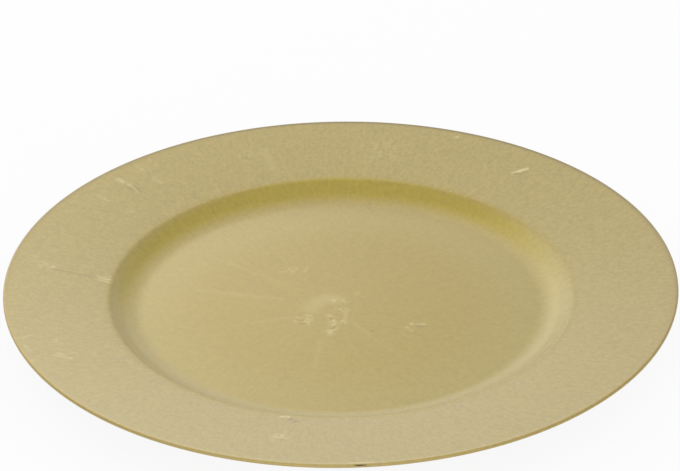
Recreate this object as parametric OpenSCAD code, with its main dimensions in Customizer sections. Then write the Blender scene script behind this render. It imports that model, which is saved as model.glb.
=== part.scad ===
// Charger plate: a wide-rimmed round plate, moulded in one piece, with its face leafed and lacquered.
// Millimetres, +Z up. The plate turns about Z and its foot ring stands on Z = 0.

/* [Plate] */
// Diameter over the finished lip
plate_d = 330; // [310:1:360]
// Wall thickness of the moulding, out to the start of the rim
wall_t = 2; // [1.4:0.1:2.6]

/* [Rim] */
// Width of the rim, measured level from the lip to the bend into the well
rim_w = 50; // [40:0.5:64]
// Slope of the rim, rising to the lip
rim_slope = 9.8; // [5:0.2:13]
// Radius of the bend between the rim and the side of the well
shoulder_r = 5; // [3:0.5:16]
// Thickness of the moulding at the lip, to which the rim thins
lip_t = 1.2; // [0.8:0.1:1.4]

/* [Well] */
// Depth of the well, from the bend of the rim down to the floor
well_depth = 7.8; // [6.4:0.1:12]
// Slope of the side of the well
side_slope = 36; // [28:0.5:42]
// Radius of the bend between the side of the well and the floor
floor_r = 20; // [10:1:26]

/* [Foot ring] */
// Distance from the edge of the flat floor in to the middle of the ring
foot_inset = 4; // [3:0.5:12]
// Width of the ring
foot_w = 3.2; // [2.4:0.2:5]
// Height of the ring below the floor
foot_h = 2.5; // [1.5:0.1:4]
// Draft on the flanks of the ring
foot_draft = 6; // [2:1:12]
// Radius on the edges of the ring
foot_edge_r = 0.5; // [0.2:0.1:0.8]

/* [Moulding gate] */
// Diameter of the dimple round the gate, under the middle of the floor
gate_d = 16; // [10:1:24]
// Depth of the dimple
gate_depth = 0.6; // [0.3:0.1:0.9]
// Diameter of the stub left by the gate
stub_d = 3; // [2:0.5:5]
// Height of the stub, which stays inside the dimple
stub_h = 0.3; // [0.1:0.1:0.3]

/* [Finish] */
// Thickness of the leaf with its size
leaf_t = 0.2; // [0.15:0.05:0.4]
// Thickness of the lacquer
lacquer_t = 0.2; // [0.15:0.05:0.4]
// How far round the lip the finish is turned, below its outermost point
hem_angle = 30; // [0:5:60]

/* [Hidden] */
$fn = 144;
// Steps along each bend of the section
bend_steps = 12;
// Directions square to the rim, to the side of the well and to the floor, on the face
rim_up = 90 + rim_slope;
side_up = 90 + side_slope;
floor_up = 90;
// Height of the floor on the moulding
floor_z = foot_h + wall_t;
// Height of the straight side, between its two bends
side_drop = well_depth - floor_r * (1 - cos(side_slope)) - shoulder_r * (cos(rim_slope) - cos(side_slope));
// Start of the rim, where it leaves the bend
rim_start = [plate_d / 2 - rim_w, floor_z + well_depth];
// Centres of the two bends
shoulder_c = rim_start - shoulder_r * toward(rim_up);
floor_c = shoulder_c + (shoulder_r + floor_r) * toward(side_up) - [side_drop / tan(side_slope), side_drop];
// Round end of the lip
lip_r = lip_t / 2;
lip_x = plate_d / 2 - leaf_t - lacquer_t - lip_r;
lip_c = [lip_x, rim_start.y + (lip_x - rim_start.x) * tan(rim_slope) - lip_r / cos(rim_slope)];
// Middle of the foot ring
foot_x = floor_c.x - foot_inset;

// Unit vector at an angle
function toward(a) = [cos(a), sin(a)];

// Points along an arc, from step number first to its end
function arc(c, r, a0, a1, first = 0) =
    [for (i = [first : bend_steps]) c + r * toward(a0 + (a1 - a0) * i / bend_steps)];

// The same points from the other end
function back(points) = [for (i = [len(points) - 1 : -1 : 0]) points[i]];

// Line of the plate from its axis to the rim, a height e above the face of the moulding
function face_line(e) = concat(
    [[0, floor_z + e]],
    arc(floor_c, floor_r - e, floor_up - 180, side_up - 180),
    arc(shoulder_c, shoulder_r + e, side_up, rim_up));

// The line on round the lip, down to the hem of the finish
function finished_line(e) = concat(face_line(e), arc(lip_c, lip_r + e, rim_up, -hem_angle));

// Bare end of the lip, from the hem to the underside
function bare_lip() = arc(lip_c, lip_r, -hem_angle, rim_up - 180, first = 1);

// Half section of the plain plate, a wall that is even out to the rim and thins along it to the lip
module wall_section()
    polygon(concat(face_line(-wall_t), back(concat(finished_line(0), bare_lip()))));

// Half section of the foot ring, from the table up into the wall
module foot_section() {
    reach = foot_w / 2 - foot_edge_r;
    top = foot_h + wall_t / 2;
    spread = reach + foot_edge_r * cos(foot_draft)
        + (top - foot_edge_r + foot_edge_r * sin(foot_draft)) * tan(foot_draft);
    polygon(concat(
        [[foot_x - spread, top]],
        arc([foot_x - reach, foot_edge_r], foot_edge_r, 180 + foot_draft, 270),
        arc([foot_x + reach, foot_edge_r], foot_edge_r, 270, 360 - foot_draft),
        [[foot_x + spread, top]]));
}

// Half section of the dimple round the gate, less the stub
module gate_section() {
    translate([stub_d / 2, 0]) square([(gate_d - stub_d) / 2, foot_h + gate_depth]);
    square([gate_d / 2, foot_h + gate_depth - stub_h]);
}

// Layer of the finish between two heights on the face, turned over the lip
module layer(e0, e1)
    rotate_extrude()
        polygon(concat(finished_line(e0), back(finished_line(e1))));

// The moulding: floor, side, rim, lip and foot ring in one, with the mark of its gate underneath
module moulded_plate()
    color([0.22, 0.15, 0.09])
        rotate_extrude()
            difference() {
                union() {
                    wall_section();
                    foot_section();
                }
                gate_section();
            }

// Metal leaf pressed over the whole face and turned down over the lip
module leaf_face()
    color([0.79, 0.66, 0.35])
        layer(0, leaf_t);

// Clear satin lacquer that seals the leaf
module clear_lacquer()
    color([0.93, 0.88, 0.72, 0.35])
        layer(leaf_t, leaf_t + lacquer_t);

moulded_plate();
leaf_face();
clear_lacquer();
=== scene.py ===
from math import cos, pi, radians, sin, tan

import bpy
import numpy as np
from mathutils import Matrix, Vector
from mathutils.geometry import delaunay_2d_cdt


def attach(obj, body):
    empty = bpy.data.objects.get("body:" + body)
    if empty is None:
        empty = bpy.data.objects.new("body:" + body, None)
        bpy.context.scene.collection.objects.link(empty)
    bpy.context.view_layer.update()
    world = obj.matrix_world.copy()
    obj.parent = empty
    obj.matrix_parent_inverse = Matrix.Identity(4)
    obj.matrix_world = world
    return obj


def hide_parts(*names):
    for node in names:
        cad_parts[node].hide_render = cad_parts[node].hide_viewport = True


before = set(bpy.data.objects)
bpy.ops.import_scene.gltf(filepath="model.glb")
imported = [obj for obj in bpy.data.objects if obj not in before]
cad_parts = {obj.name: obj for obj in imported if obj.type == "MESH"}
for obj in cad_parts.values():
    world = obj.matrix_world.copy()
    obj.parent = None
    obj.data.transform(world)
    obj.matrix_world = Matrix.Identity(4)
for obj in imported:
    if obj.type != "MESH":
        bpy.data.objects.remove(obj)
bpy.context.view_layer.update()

# The moulding: one plate of dark brown polypropylene, with a flat floor, a sloping side, a wide rim that
# thins to a round lip, and a foot ring under the edge of the floor. It was filled through a gate in the middle
# of its back, which has left a shallow dimple with a stub in it. The finish is laid on this piece.
plate_r, wall = 0.165, 0.0020
rim_width, rim_slope, shoulder_r, lip_r = 0.0500, radians(9.8), 0.0050, 0.0006
well_depth, side_slope, floor_r = 0.0078, radians(36), 0.020
foot_inset, foot_width, foot_height = 0.0040, 0.0032, 0.0025
foot_draft, foot_edge = radians(6), 0.0005
gate_r, gate_depth, stub_r, stub_height = 0.0080, 0.0006, 0.0015, 0.0003
# Room that the finish takes up outside the moulding's lip
finish_room = 0.0004
# Steps along each bend of the section, and round the plate
foot_steps, back_steps, lip_steps, face_steps, plate_steps = 6, 20, 24, 12, 288
# Edges that turn further than this stay crisp
crisp_turn = radians(28)


def toward(angle):
    """Unit vector of the half section at an angle."""
    return np.array([cos(angle), sin(angle)])


def bend(centre, radius, start, end, steps):
    """Points of the half section along a bend."""
    return [centre + radius * toward(start + (end - start) * i / steps) for i in range(steps + 1)]


rim_up, side_up, floor_up = pi / 2 + rim_slope, pi / 2 + side_slope, pi / 2
floor_z = foot_height + wall
side_drop = well_depth - floor_r * (1 - cos(side_slope)) - shoulder_r * (cos(rim_slope) - cos(side_slope))
side_line = side_drop * np.array([1 / tan(side_slope), 1])
rim_start = np.array([plate_r - rim_width, floor_z + well_depth])
shoulder_c = rim_start - shoulder_r * toward(rim_up)
floor_c = shoulder_c + (shoulder_r + floor_r) * toward(side_up) - side_line
lip_x = plate_r - finish_room - lip_r
lip_c = np.array([lip_x, rim_start[1] + (lip_x - rim_start[0]) * tan(rim_slope) - lip_r / cos(rim_slope)])
foot_x = floor_c[0] - foot_inset


def face_bends(height, steps):
    """The two bends of the face, from the floor out to the rim, a height above the moulding's own face."""
    return (bend(floor_c, floor_r - height, floor_up - pi, side_up - pi, steps)
            + bend(shoulder_c, shoulder_r + height, side_up, rim_up, steps))


def moulding_section():
    """Half section of the moulding, from the axis along the back, round the lip and back along the face."""
    reach = foot_width / 2 - foot_edge
    flank = foot_height - foot_edge * (1 - sin(foot_draft))
    root = reach + foot_edge * cos(foot_draft) + flank * tan(foot_draft)
    dimple = foot_height + gate_depth
    back = [(0, dimple - stub_height), (stub_r, dimple - stub_height), (stub_r, dimple), (gate_r, dimple),
            (gate_r, foot_height), (foot_x - root, foot_height)]
    back += bend(np.array([foot_x - reach, foot_edge]), foot_edge, pi + foot_draft, 1.5 * pi, foot_steps)
    back += bend(np.array([foot_x + reach, foot_edge]), foot_edge, 1.5 * pi, 2 * pi - foot_draft, foot_steps)
    back += [(foot_x + root, foot_height)] + face_bends(-wall, back_steps)
    lip = bend(lip_c, lip_r, rim_up - pi, rim_up, lip_steps)
    return back + lip + face_bends(0, face_steps)[::-1] + [(0, floor_z)]


def placed(name, data):
    """An object in the scene that holds a mesh, a lamp or a camera."""
    thing = bpy.data.objects.new(name, data)
    bpy.context.collection.objects.link(thing)
    return thing


def turned(name, section, count):
    """A mesh turned about the plate's axis, closed at the two ends of its section."""
    turn = np.arange(count) * 2 * pi / count
    ring = np.stack([np.cos(turn), np.sin(turn)], axis=1)
    points, faces, starts = [], [], []
    for r, z in section:
        starts.append(len(points))
        points += [(r * x, r * y, z) for x, y in ring] if r > 0 else [(0, 0, z)]
    for k in range(len(section) - 1):
        a, b = starts[k], starts[k + 1]
        for i in range(count):
            j = (i + 1) % count
            if section[k][0] <= 0:
                faces.append((a, b + j, b + i))
            elif section[k + 1][0] <= 0:
                faces.append((a + i, a + j, b))
            else:
                faces.append((a + i, a + j, b + j, b + i))
    mesh = bpy.data.meshes.new(name)
    mesh.from_pydata(points, [], faces)
    mesh.shade_smooth()
    mesh.set_sharp_from_angle(angle=crisp_turn)
    return placed(name, mesh)


class Shade:
    """One output of a shader node. Arithmetic on it adds Math nodes to the same tree."""

    def __init__(self, tree, socket=None):
        self.tree, self.socket = tree, socket

    def node(self, kind, settings=None, sockets=None, out=0):
        """Any other node: its settings first, then the values or links of its sockets, by name or number."""
        made = self.tree.nodes.new("ShaderNode" + kind)
        for key, value in (settings or {}).items():
            setattr(made, key, value)
        for key, value in (sockets or {}).items():
            if isinstance(value, Shade):
                self.tree.links.new(value.socket, made.inputs[key])
            else:
                made.inputs[key].default_value = value
        return Shade(self.tree, made.outputs[out])

    def math(self, operation, *values):
        """A Math node on values or expressions."""
        return self.node("Math", {"operation": operation}, dict(enumerate(values)))

    def vector(self, operation, first, second, out=0):
        """A Vector Math node on two vectors."""
        return self.node("VectorMath", {"operation": operation}, {0: first, 1: second}, out)

    def __add__(self, other):
        return self.math("ADD", self, other)

    def __sub__(self, other):
        return self.math("SUBTRACT", self, other)

    def __rsub__(self, other):
        return self.math("SUBTRACT", other, self)

    def __mul__(self, other):
        return self.math("MULTIPLY", self, other)

    def __pow__(self, other):
        return self.math("POWER", self, other)

    __radd__, __rmul__ = __add__, __mul__

    def step(self, low, high):
        """0 below low, 1 above high, smooth between."""
        return self.node("MapRange", {"interpolation_type": "SMOOTHSTEP"}, {0: self, 1: low, 2: high})

    def tint(self, colour, other):
        """From one colour to another as this value goes from 0 to 1."""
        return self.node("Mix", {"data_type": "RGBA"}, {0: self, 6: colour, 7: other}, out=2)

    def scaled(self, amount):
        """This colour or vector times an amount."""
        return self.node("VectorMath", {"operation": "SCALE"}, {0: self, "Scale": amount})

    def length(self):
        """Length of this vector."""
        return self.node("VectorMath", {"operation": "LENGTH"}, {0: self}, out="Value")

    def part(self, axis):
        """This vector's part along X, Y or Z."""
        return self.node("SeparateXYZ", {}, {0: self}, out=axis)

    def noise(self, fine=1.0, detail=2.0, rough=0.5):
        """Noise at this place, so many grains to a metre of it."""
        sockets = {"Vector": self, "Scale": fine, "Detail": detail, "Roughness": rough}
        return self.node("TexNoise", {}, sockets)

    def radial(self, centre, around, along):
        """This place seen from a centre: so many grains to a radian round it, and to a metre out from it."""
        flat = self.vector("MULTIPLY", self, (1, 1, 0))
        flat = self.vector("SUBTRACT", flat, (*centre, 0))
        way = self.node("VectorMath", {"operation": "NORMALIZE"}, {0: flat})
        rise = self.node("CombineXYZ", {}, {2: flat.length() * along})
        return self.vector("ADD", way.scaled(around), rise)


def new_material(name):
    """A material with a lone Principled shader, and the start of its node expressions."""
    material = bpy.data.materials.new(name)
    material.use_nodes = True
    return material, Shade(material.node_tree), material.node_tree.nodes["Principled BSDF"]


def feed(shader, **links):
    """Links expressions to the shader's sockets."""
    for name, value in links.items():
        value.tree.links.new(value.socket, shader.inputs[name.replace("_", " ")])


# Browns of the plastic: its dark and light clouds, and where the foot ring is rubbed, all over up to one
# height and not at all above another, and how fine its patterns are, in grains to a metre or a radian round
brown_dark, brown_light = (0.056, 0.034, 0.009, 1), (0.076, 0.048, 0.014, 1)
brown_rubbed, rubbed_all, rubbed_none = (0.16, 0.12, 0.08, 1), 0.0002, 0.0009
grain_fine, cloud_fine, rub_fine = 2600.0, 34.0, 420.0
tool_round, tool_along = 3.0, 2600.0
moulding = turned("moulding", moulding_section(), plate_steps)
brown_plastic, shade, shader = new_material("brown_plastic")
place = shade.node("TexCoord", out="Object")
grain = place.noise(grain_fine, 3.0)
cloud = place.noise(cloud_fine, 3.0)
tool_marks = place.radial((0, 0), tool_round, tool_along).noise(detail=1.0)
rubbed = (1 - place.part("Z").step(rubbed_all, rubbed_none)) * place.noise(rub_fine, 4.0).step(0.42, 0.62)
colour = cloud.step(0.3, 0.7).tint(brown_dark, brown_light)
colour = (rubbed * 0.55).tint(colour, brown_rubbed)
relief = grain * 0.7 + tool_marks * 0.5
bump = shade.node("Bump", {}, {"Strength": 0.25, "Distance": 0.00008, "Height": relief})
feed(shader, Base_Color=colour, Roughness=grain * 0.16 + rubbed * 0.12 + 0.46, Normal=bump)
shader.inputs["Specular IOR Level"].default_value = 0.3
moulding.data.materials.append(brown_plastic)
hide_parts("moulded_plate")
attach(moulding, "root")

# The leaf and its lacquer: one sheet of gold metal leaf, pressed on by hand from the middle outwards over
# the whole face and turned down over the lip, then sealed under clear satin lacquer. Where it would not lie
# flat it has gathered into a crumpled rosette in the middle, and into short creases and patches on the rim.
# Heights of its face and its back above the moulding, and how far past the lip's outermost point it is turned
finish, lining = 0.00035, 0.00003
hem_angle = radians(30)
# Each mark on the leaf, in millimetres: its width, how pale it is, or dark below nought, and its points. A
# pale mark is partly the crease's own tone and partly painted sheen; a dark mark is painted shade beside a
# fold.
marks = [
    # the rosette in the middle
    (8.0, 0.30, [(-14.5, -5), (-11, 1), (-7, 4), (-3, 3)]),
    (4.0, 0.50, [(-5, 2.5), (1.5, 1.5)]),
    (4.0, 0.40, [(-1, -6), (1.5, -8)]),
    (1.6, 0.30, [(1.5, -8), (2.5, -12), (1.5, -16.5), (-0.5, -19)]),
    (3.0, 0.75, [(1.5, -18), (-0.5, -19), (-3.5, -21.5)]),
    (2.6, 0.70, [(-5.5, -13), (-3.5, -17)]),
    (4.0, 0.50, [(-4.5, -15), (-3.5, -25), (-5.5, -28)]),
    (1.8, 0.60, [(-3, -25.5), (-5.5, -29)]),
    (1.6, 0.55, [(-17, -11.5), (-14, -13)]),
    (1.6, 0.70, [(-17, -14.5), (-14, -16)]),
    (2.4, 0.60, [(-21, -14), (-18, -17)]),
    (2.0, 0.60, [(-16, -19.5)]),
    (5.0, 0.40, [(-20.5, -16), (-16, -18)]),
    (1.5, -0.40, [(-19.5, -19.5)]),
    # rays from the rosette across the floor
    (1.8, 0.12, [(5, -16.5), (9.5, -24), (14, -31.5)]),
    (1.8, 0.08, [(14, -31.5), (20.5, -40.5), (28, -50.5)]),
    (1.6, -0.50, [(15, -27)]),
    (2.0, 0.50, [(8, 8.5)]),
    (2.6, 0.13, [(-29.5, 4), (-54, 10), (-71, 13.5)]),
    (2.0, 0.08, [(-25, 16.5), (-44, 31), (-57, 41)]),
    (2.2, 0.12, [(-24.5, -13.5), (-42, -17.5)]),
    (2.4, 0.08, [(-9.5, -35), (-12.5, -58)]),
    # flecks on the floor, on the right and at the back
    (1.6, 0.62, [(37, -21.5), (40.5, -21.5)]),
    (1.0, -0.40, [(37, -23.5), (41, -23.5)]),
    (1.8, 1.30, [(32, -24.5)]),
    (1.6, 1.10, [(34.5, -21)]),
    (1.8, 0.65, [(34, -27)]),
    (1.6, 0.34, [(-26, 33.5), (-24, 30.5), (-22, 34)]),
    (1.4, 0.22, [(-30, 31), (-27.5, 31)]),
    (1.4, 0.22, [(-18, 31), (-16.5, 35.5)]),
    # folds on the rim at the back
    (2.8, 0.70, [(-116, 103.5), (-113, 101.5), (-110.5, 100)]),
    (1.3, 0.45, [(-110.5, 100), (-108, 98), (-105.5, 95)]),
    (1.2, -0.35, [(-110.5, 97.5), (-108, 95.5)]),
    (1.2, -0.35, [(-108, 99.5), (-105.5, 97), (-104, 95)]),
    (1.4, 1.80, [(94.5, 110), (97, 111), (99.5, 111.5)]),
    (1.2, 1.10, [(91.5, 109.5), (93, 110), (95.5, 109.5)]),
    (1.2, -0.30, [(92, 108), (98, 108.5)]),
    (4.0, 0.18, [(-40, 138), (-35.5, 122.5)]),
    (1.7, 2.20, [(63.5, 145.5)]),
    (17.0, 0.19, [(23, 137)]),
    (8.0, 0.30, [(-49, 133)]),
    (2.2, 0.36, [(-107, 117), (-103.5, 114)]),
    (2.0, 0.36, [(-97.5, 107.5), (-94.5, 104)]),
    # folds on the rim on the left
    (2.2, 0.38, [(-125, 87), (-120.5, 83.5)]),
    (6.0, 0.15, [(-122, 83)]),
    (2.0, 0.36, [(-109.5, 78), (-106.5, 76)]),
    (1.1, -0.35, [(-142, 14.5), (-134.5, 14), (-127, 13), (-121.5, 13)]),
    (1.4, 0.80, [(-121, 13.5), (-117.5, 12), (-114.5, 12)]),
    (1.3, 0.60, [(-119.5, 10.5), (-115, 9.5)]),
    (1.2, 0.50, [(-117.5, 14.5), (-114.5, 14.5)]),
    (2.0, 0.80, [(-144.5, 15.5), (-142.5, 17)]),
    (6.0, 0.30, [(-148.5, 18.5)]),
    (5.0, 0.25, [(-150.5, 24)]),
    (7.0, 0.25, [(-134.5, -54)]),
    (1.6, 0.60, [(-134.5, -68), (-131, -68), (-127, -69)]),
    (1.6, 0.50, [(-133, -65.5), (-130.5, -66)]),
    (1.4, 0.40, [(-128, -62.5), (-125, -63.5)]),
    (2.0, 0.35, [(-152, -55.5), (-147.5, -51.5)]),
    (2.0, 0.35, [(-149, -62), (-146.5, -66)]),
    (1.6, 0.60, [(-144, -75.5)]),
    # folds on the rim at the front
    (1.8, 1.30, [(-27.5, -113.5), (-24.5, -113.5)]),
    (1.6, -0.90, [(-23.5, -116)]),
    (1.6, -0.70, [(-21.5, -118.5)]),
    (6.0, 0.60, [(-28, -135.5)]),
    (5.0, 0.20, [(-1, -115.5)]),
    (3.0, 0.35, [(62.5, -151)]),
    (1.2, 0.60, [(3, -163), (13, -162.5)]),
]
# Marks fade over this share of their width. Lines fainter than smooth_below are smooth, other pale marks are
# crumpled into facets of one size, each painted lighter or darker as light and shade, fully so from the
# crushed width on.
mark_fade, smooth_below, facet_size, crushed_width = 0.6, 0.32, 1.8, 4
# How far a full mark stands off the face in the middle of a facet, and how much further a facet's width away
fold_lift, facet_lift = 0.01, 0.08
# The chip on the lip where the leaf is off: its angle round the plate and half its length there, then the same
# two on the round of the lip, how crisp its edge is, and the depth, count and shift of that edge's waves
chip_round, chip_length = 1.5 * pi + 0.046, 0.019
chip_angle, chip_width = radians(43), radians(24)
chip_crisp, chip_waves = 5, [(0.12, 611, 0), (0.10, 7, 1)]
# A band along the lip, painted darker, darkest at the back, and across from there at the front a painted
# highlight: how deep it is and where, the shares of it that are even all round and that swing, its angle on
# the round of the lip, and its width
lip_band_depth, lip_band_darkest = 0.9, radians(80)
lip_band_even, lip_band_swing = 0.3, 0.7
lip_band_angle, lip_band_width = radians(65), 1.7
# How far apart the points of the mesh are, in millimetres, on the bends, in the marks and on the bends of its
# back, and how many rows and points go round the lip
bend_gap, mark_gap, back_gap = 0.6, 0.5, 1.0
outer_rows, inner_rows, lip_points = 17, 7, 1320
around = np.arange(lip_points) * 2 * pi / lip_points


def face_height(r):
    """Height of the finished face at a radius."""
    bends = np.array(face_bends(finish, 1))
    low = floor_c[1] - np.sqrt(np.maximum((floor_r - finish) ** 2 - (r - floor_c[0]) ** 2, 0))
    high = shoulder_c[1] + np.sqrt(np.maximum((shoulder_r + finish) ** 2 - (r - shoulder_c[0]) ** 2, 0))
    side = bends[1, 1] + (r - bends[1, 0]) * tan(side_slope)
    rim = bends[3, 1] + (r - bends[3, 0]) * tan(rim_slope)
    return np.select([r < x for x in bends[:, 0]], [bends[0, 1], low, side, high], rim)


def off_line(x, y, points):
    """Distance from places to a line through points, or to a lone point."""
    nearest = np.full(len(x), np.inf)
    for (ax, ay), (bx, by) in zip(points, points[1:] or points):
        dx, dy = bx - ax, by - ay
        t = np.clip(((x - ax) * dx + (y - ay) * dy) / max(dx * dx + dy * dy, 1e-9), 0, 1)
        nearest = np.minimum(nearest, np.hypot(x - ax - t * dx, y - ay - t * dy))
    return nearest


def facets(x, y, size):
    """Crushed foil: the painted light and shade of each place's facet, from -1 to 1, and its distance from the
    facet's middle.
    """
    cells = 64
    draw = np.random.default_rng(7).uniform(size=(3, cells, cells))
    i, j = np.floor(x / size), np.floor(y / size)
    nearest, tone = np.full(len(x), np.inf), np.zeros(len(x))
    for di in (-1, 0, 1):
        for dj in (-1, 0, 1):
            a, b, t = draw[:, ((i + di) % cells).astype(int), ((j + dj) % cells).astype(int)]
            away = np.hypot(x - (i + di + a) * size, y - (j + dj + b) * size)
            tone = np.where(away < nearest, 2 * t - 1, tone)
            nearest = np.minimum(nearest, away)
    return tone, nearest / size


def folds(x, y):
    """How far the leaf stands off the face, in millimetres, and how pale it is, or dark below nought: partly
    the creases' own tone, partly painted sheen and shade.
    """
    lift, pale, dark = np.zeros((3, len(x)))
    facet_shading, away = facets(x, y, facet_size)
    for width, tone, points in marks:
        near = abs(tone) * np.exp(-(off_line(x, y, points) / (mark_fade * width)) ** 2)
        lift = np.maximum(lift, near)
        if tone < 0:
            dark = np.maximum(dark, near)
        else:
            crushed = min(width / crushed_width, 1) if tone > smooth_below or len(points) == 1 else 0
            tones = near * (1 - 0.5 * crushed + crushed * facet_shading)
            pale = np.where(np.abs(tones) > np.abs(pale), tones, pale)
    return lift * (fold_lift + facet_lift * away), pale - dark


def ring_places(edge, apart):
    """Places in rings over the face, in millimetres: this far apart on the bends, and wider on the flats."""
    well, rim = 1000 * floor_c[0], 1000 * rim_start[0]
    # Places stand wider along a ring than the rings do, and each ring is turned on by a share of a place
    wider, turn_on = 1.2, 0.382
    rings = []
    # Start of each zone, and how many times wider its rings stand than the closest ones
    zones = [(0, 4), (well - 3, 2), (rim - 4, 1), (rim + 1, 4), (edge - 3, 1), (edge - 0.3, 0)]
    for (start, times), (end, _) in zip(zones, zones[1:]):
        for r in np.arange(start, end, apart * times):
            count = max(1, round(2 * pi * r / (wider * apart * times)))
            turn = (np.arange(count) + turn_on * len(rings)) * 2 * pi / count
            rings.append(r * np.stack([np.cos(turn), np.sin(turn)], axis=1))
    return np.concatenate(rings)


def marked_places(rings, edge, fine):
    """The rings, with a close grid of even triangles in their place at every mark."""
    row, margin, edge_margin, clear = fine * 0.866, 0.5, 0.6, 0.4 * fine
    grids = []
    for width, tone, points in marks:
        reach = width + margin
        low, high = np.min(points, axis=0) - reach, np.max(points, axis=0) + reach
        columns = np.arange(low[0] // fine, high[0] // fine + 1)
        lines = np.arange(low[1] // row, high[1] // row + 1)
        i, j = np.meshgrid(columns, lines)
        x, y = ((i + 0.5 * (j % 2)) * fine).ravel(), (j * row).ravel()
        grids.append(np.stack([x, y], axis=1)[off_line(x, y, points) < reach])
        rings = rings[off_line(rings[:, 0], rings[:, 1], points) > reach + clear]
    grid = np.unique(np.concatenate(grids).round(4), axis=0)
    return np.concatenate([rings, grid[np.hypot(grid[:, 0], grid[:, 1]) < edge - edge_margin]])


def spread(places, edge):
    """Triangles over places, out to a ring of points at the edge, which come first."""
    ring = edge * np.stack([np.cos(around), np.sin(around)], axis=1)
    made, _, faces, *_ = delaunay_2d_cdt([Vector(p) for p in np.concatenate([ring, places])], [], [], 0, 1e-6)
    return np.array([tuple(p) for p in made]), [tuple(f) for f in faces]


def lip_ring(angle, height):
    """Points round the lip at one angle of its section, each at its own height above the moulding."""
    r, z = lip_c[0] + (lip_r + height) * cos(angle), lip_c[1] + (lip_r + height) * sin(angle)
    return np.stack([r * np.cos(around), r * np.sin(around), z], axis=1)


def chipped(angle):
    """1 where the leaf is off the lip, with a ragged edge, and 0 elsewhere, round the lip at one angle."""
    off = np.hypot((around - chip_round) / chip_length, (angle - chip_angle) / chip_width)
    ragged = sum(depth * np.sin(count * around + shift) for depth, count, shift in chip_waves)
    return np.clip((1 + ragged - off) * chip_crisp, 0, 1)


def lip_dark_and_highlight(turn, angle, inside):
    """How dark the band along the lip is painted at an angle on the round of the lip, or, past it, some
    millimetres inside; below nought it is a painted highlight.
    """
    off = (angle - lip_band_angle) * 1000 * (lip_r + finish) + inside
    return lip_band_depth * (lip_band_even + lip_band_swing * np.cos(turn - lip_band_darkest)) * np.exp(-(off / lip_band_width) ** 2)


def hidden(points):
    """Points on the back of the leaf, with no normals of their own and no tone."""
    return points, np.zeros((len(points), 3)), np.zeros(len(points))


def leaf_top(edge):
    """The face with every fold, flat again towards its edge: points, normals, how pale they are with painted
    light and shade, and faces.
    """
    tiny, settle = 0.02, 2
    top, faces = spread(marked_places(ring_places(edge, bend_gap), edge, mark_gap), edge)
    x, y = top.T
    r = np.hypot(x, y)
    still = np.clip((edge - r) / settle, 0, 1)
    rise, pale = folds(x, y)
    slope = 1000 * (face_height((r + tiny) / 1000) - face_height((r - tiny) / 1000))
    lean_x = slope * x / np.maximum(r, tiny) + still * (folds(x + tiny, y)[0] - folds(x - tiny, y)[0])
    lean_y = slope * y / np.maximum(r, tiny) + still * (folds(x, y + tiny)[0] - folds(x, y - tiny)[0])
    points = np.stack([x / 1000, y / 1000, face_height(r / 1000) + still * rise / 1000], axis=1)
    normals = np.stack([-lean_x, -lean_y, np.full(len(x), 2 * tiny)], axis=1)
    return points, normals, pale - lip_dark_and_highlight(np.arctan2(y, x), rim_up, edge - r), faces


def leaf_lip():
    """Rows of points round the lip, down its outside to the hem and up again inside, sunk at the chip."""
    sunk = finish + 0.0001
    rows = []
    for angle in np.linspace(rim_up, -hem_angle, outer_rows)[1:]:
        level, up = cos(angle), np.full(lip_points, sin(angle))
        outward = np.stack([level * np.cos(around), level * np.sin(around), up], axis=1)
        rows.append((lip_ring(angle, finish - sunk * chipped(angle)), outward, -lip_dark_and_highlight(around, angle, 0)))
    for angle in np.linspace(-hem_angle, rim_up, inner_rows):
        rows.append(hidden(lip_ring(angle, lining - sunk * chipped(angle))))
    return rows


def leaf_back(edge):
    """The smooth back inside its edge: its points, and its faces, which count the edge's points first."""
    rings = ring_places(edge, back_gap)
    back, faces = spread(rings[np.hypot(*rings.T) < edge - 1], edge)
    x, y = back[lip_points:].T
    z = face_height(np.hypot(x, y) / 1000) - finish + lining
    return hidden(np.stack([x / 1000, y / 1000, z], axis=1)), faces


def laid_leaf():
    """The leaf as a thin closed skin: its face with every fold, the turn over the lip, and its smooth back."""
    edge, back_edge = (1000 * (lip_c + (lip_r + height) * toward(rim_up))[0] for height in (finish, lining))
    *top, faces = leaf_top(edge)
    lip = leaf_lip()
    back, back_faces = leaf_back(back_edge)
    points, normals, pale = (np.concatenate(column) for column in zip(top, *lip, back))
    starts = [0] + [len(top[0]) + k * lip_points for k in range(len(lip) + 1)]
    rows = [np.arange(start, start + lip_points) for start in starts[:-1]]
    for a, b in zip(rows, rows[1:]):
        faces += list(zip(a, b, np.roll(b, -1), np.roll(a, -1)))
    index = np.concatenate([rows[-1], np.arange(starts[-1], len(points))])
    faces += [tuple(index[i] for i in f[::-1]) for f in back_faces]
    mesh = bpy.data.meshes.new("leaf")
    mesh.from_pydata(points.tolist(), [], [tuple(int(i) for i in f) for f in faces])
    mesh.shade_smooth()
    mesh.attributes.new("pale", "FLOAT", "POINT").data.foreach_set("value", pale.astype(np.float32))
    normals /= np.maximum(np.linalg.norm(normals, axis=1), 1e-9)[:, None]
    mesh.normals_split_custom_set_from_vertices(normals.tolist())
    return placed("leaf", mesh)


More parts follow.
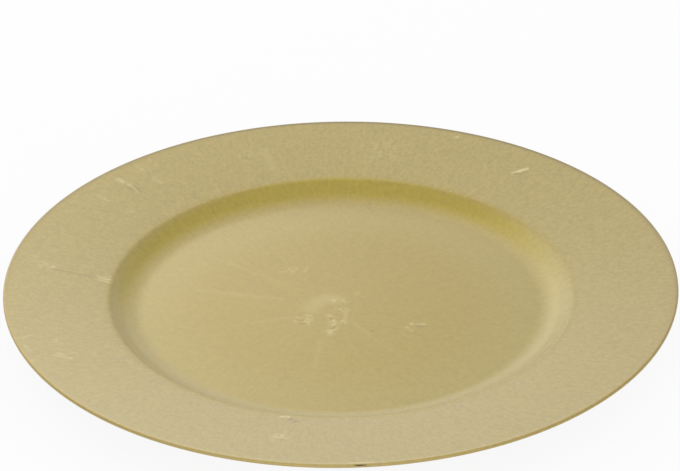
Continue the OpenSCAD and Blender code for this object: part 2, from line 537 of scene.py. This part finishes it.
# Golds of the leaf: in the middle of the floor and at its edge, on the side, on the rim and lip, and in marks.
# The leaf is one gold, and these zones paint its light and shade: the back of the side is painted darker and
# deeper as shade, the back of the floor lighter, the front of the side with painted sheen, and the lip with a
# painted highlight.
gold_middle = (0.412, 0.308, 0.067, 1)
gold_floor_front, gold_floor_back_lit = (0.424, 0.329, 0.090, 1), (0.448, 0.347, 0.104, 1)
gold_side_front_sheen, gold_side_back_shaded = (0.476, 0.378, 0.122, 1), (0.455, 0.350, 0.050, 1)
gold_rim, gold_lip_highlight = (0.424, 0.331, 0.108, 1), (0.46, 0.335, 0.080, 1)
gold_pale_and_sheen, gold_dark = (0.72, 0.61, 0.31, 1), (0.17, 0.12, 0.038, 1)
# Where one gold fades into the next, in metres from the middle, and from front to back along a way. The rim's
# gold starts further in towards the left and right, by this share of the distance aside.
floor_fade, side_fade, rim_fade, lip_fade = (0.055, 0.097), (0.101, 0.108), (0.113, 0.119), (0.1647, 0.1656)
back_way, back_fade, aside_share = (-0.26, 0.97, 0), (-0.02, 0.06), 0.03
# The lacquer runs thin over the shoulder: where that starts, is most and ends, and how much is missing there
thin_start, thin_most, thin_end, thin_by = 0.1125, 0.1145, 0.119, 0.32
# Where the leaf gathered, and how fine its patterns are, in grains to a radian round that place and to a metre
gathered = (-0.007, -0.009)
streak_round, streak_along, ray_round, ray_along, mottle_fine = 115.0, 200.0, 26.0, 12.0, 480.0
leaf = laid_leaf()
gold_leaf, shade, shader = new_material("gold_leaf")
place = shade.node("TexCoord", out="Object")
out = place.length()
aside = shade.math("ABSOLUTE", place.part("X"))
floor_edge, on_side, on_lip = out.step(*floor_fade), out.step(*side_fade), out.step(*lip_fade)
on_rim = (out + aside * aside_share).step(*rim_fade)
to_back = shade.vector("DOT_PRODUCT", place, back_way, out="Value").step(*back_fade)
streaks = place.radial(gathered, streak_round, streak_along).noise(rough=0.6)
rays = place.radial(gathered, ray_round, ray_along).noise(rough=0.6)
mottle = place.noise(mottle_fine, 3.0, 0.6)
pale = shade.node("Attribute", {"attribute_name": "pale"}, out="Fac")
# Unevenness of the leaf, from mottle, fine streaks, and rays that fade out to the edge of the floor
wear = mottle * 0.55 + streaks * 0.30 + (floor_edge * 0.5 + (1 - floor_edge) * rays) * 0.15
thin = out.step(thin_start, thin_most) * (1 - out.step(thin_most, thin_end))
# Painted light and shade: the one gold of the leaf is tinted zone by zone, and differently at the back and
# front
colour = floor_edge.tint(gold_middle, to_back.tint(gold_floor_front, gold_floor_back_lit))
colour = on_side.tint(colour, to_back.tint(gold_side_front_sheen, gold_side_back_shaded))
colour = on_rim.tint(colour, gold_rim)
colour = on_lip.tint(colour, gold_lip_highlight)
colour = colour.scaled((wear - 0.5) * (on_rim * 0.3 + 0.7) + 1.005)
# The pale gold is partly the creases' own tone and partly painted sheen and glints; the dark gold is painted
# shade at folds and facets, and darkens the band along the lip.
colour = (pale * 0.75).tint(colour, gold_pale_and_sheen)
colour = (0 - pale).tint(colour, gold_dark)
relief = streaks * 0.5 + mottle * 0.5
bump = shade.node("Bump", {}, {"Strength": 0.4, "Distance": 0.00010, "Height": relief})
roughness = mottle * 0.14 + pale * 0.08 + 0.43
feed(shader, Base_Color=colour, Roughness=roughness, Coat_Weight=1 - thin * thin_by, Normal=bump)
shader.inputs["Metallic"].default_value = 0.9
shader.inputs["Coat Roughness"].default_value = 0.30
shader.inputs["Coat IOR"].default_value = 1.5
leaf.data.materials.append(gold_leaf)
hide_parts("leaf_face", "clear_lacquer")
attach(leaf, "root")

# The table: a wide matt white top that the plate stands on. A share of its white is its own, so that it shows
# white in any light, and the rest takes the light of the room and the plate's shadow.
table_half, own_white = 4, 0.92
table_mesh = bpy.data.meshes.new("table")
corners = [(-table_half, -table_half, 0), (table_half, -table_half, 0)]
corners += [(table_half, table_half, 0), (-table_half, table_half, 0)]
table_mesh.from_pydata(corners, [], [(0, 1, 2, 3)])
table = placed("table", table_mesh)
white_table, shade, shader = new_material("white_table")
shader.inputs["Base Color"].default_value = (0.88, 0.88, 0.88, 1)
shader.inputs["Roughness"].default_value = 0.8
rays_seen = ("Is Camera Ray", "Is Glossy Ray", "Is Transmission Ray")
seen, glossy, through = (shade.node("LightPath", out=ray) for ray in rays_seen)
seen = shade.math("MAXIMUM", seen, shade.math("MAXIMUM", glossy, through))
white = shade.node("Emission", {}, {"Color": (1, 1, 1, 1), "Strength": 1.0})
mixed = shade.node("MixShader", {}, {0: seen * own_white, 1: Shade(shade.tree, shader.outputs[0]), 2: white})
shade.tree.links.new(mixed.socket, shade.tree.nodes["Material Output"].inputs["Surface"])
table_mesh.materials.append(white_table)

# The studio: a bright even room with two soft round lamps behind the plate, on its left. The room is brighter
# behind the plate, high up and low down, a little overhead, and low in front.
# Each lamp's direction round the plate and height, in degrees, its distance and its power
soft_lamps, lamp_width = [(140, 35, 0.8, 0.36), (105, 30, 1.0, 0.33)], 0.5
# Each glow's direction and height, in degrees, how narrow it is, and how bright, over the light of the room
room_light = 0.70
glows = [(90, 58, 8, 0.37), (90, 8, 12, 0.48), (122, 9, 14, 0.50), (0, 90, 4, 0.09), (262, 15, 6, 0.65)]


def direction(azimuth, height):
    """Unit vector by its angle round the plate and its height, in degrees."""
    a, e = radians(azimuth), radians(height)
    return Vector((cos(a) * cos(e), sin(a) * cos(e), sin(e)))


for azimuth, height, away, power in soft_lamps:
    lamp = bpy.data.lights.new("soft_lamp", "AREA")
    lamp.shape, lamp.size, lamp.energy = "DISK", lamp_width, power
    stand = placed("soft_lamp", lamp)
    stand.location = away * direction(azimuth, height)
    stand.rotation_euler = (-stand.location).to_track_quat("-Z", "Y").to_euler()
world = bpy.data.worlds.new("studio")
bpy.context.scene.world = world
world.use_nodes = True
shade = Shade(world.node_tree)
way = shade.node("TexCoord", out="Generated")
light = room_light
for azimuth, height, narrow, strength in glows:
    facing = shade.vector("DOT_PRODUCT", way, direction(azimuth, height), out="Value")
    light = light + strength * shade.math("MAXIMUM", facing, 0.0) ** narrow
backdrop = world.node_tree.nodes["Background"]
backdrop.inputs["Color"].default_value = (1, 1, 1, 1)
world.node_tree.links.new(light.socket, backdrop.inputs["Strength"])

# The camera: a long lens in front of the plate and above it, about 1.3 m away. It looks down on the plate, and
# leans a little to one side.
lens_length, sensor_width = 140.065, 36.0
camera_place, camera_down, camera_lean = (0, -1.12028, 0.679205), radians(29.594), radians(-0.753)
lens = bpy.data.cameras.new("camera")
lens.lens, lens.sensor_width, lens.sensor_fit = lens_length, sensor_width, "HORIZONTAL"
camera = placed("camera", lens)
tilt = Matrix.Rotation(pi / 2 - camera_down, 4, "X") @ Matrix.Rotation(camera_lean, 4, "Z")
camera.matrix_world = Matrix.Translation(Vector(camera_place)) @ tilt
bpy.context.scene.camera = camera
bpy.context.scene.view_settings.view_transform = "Standard"
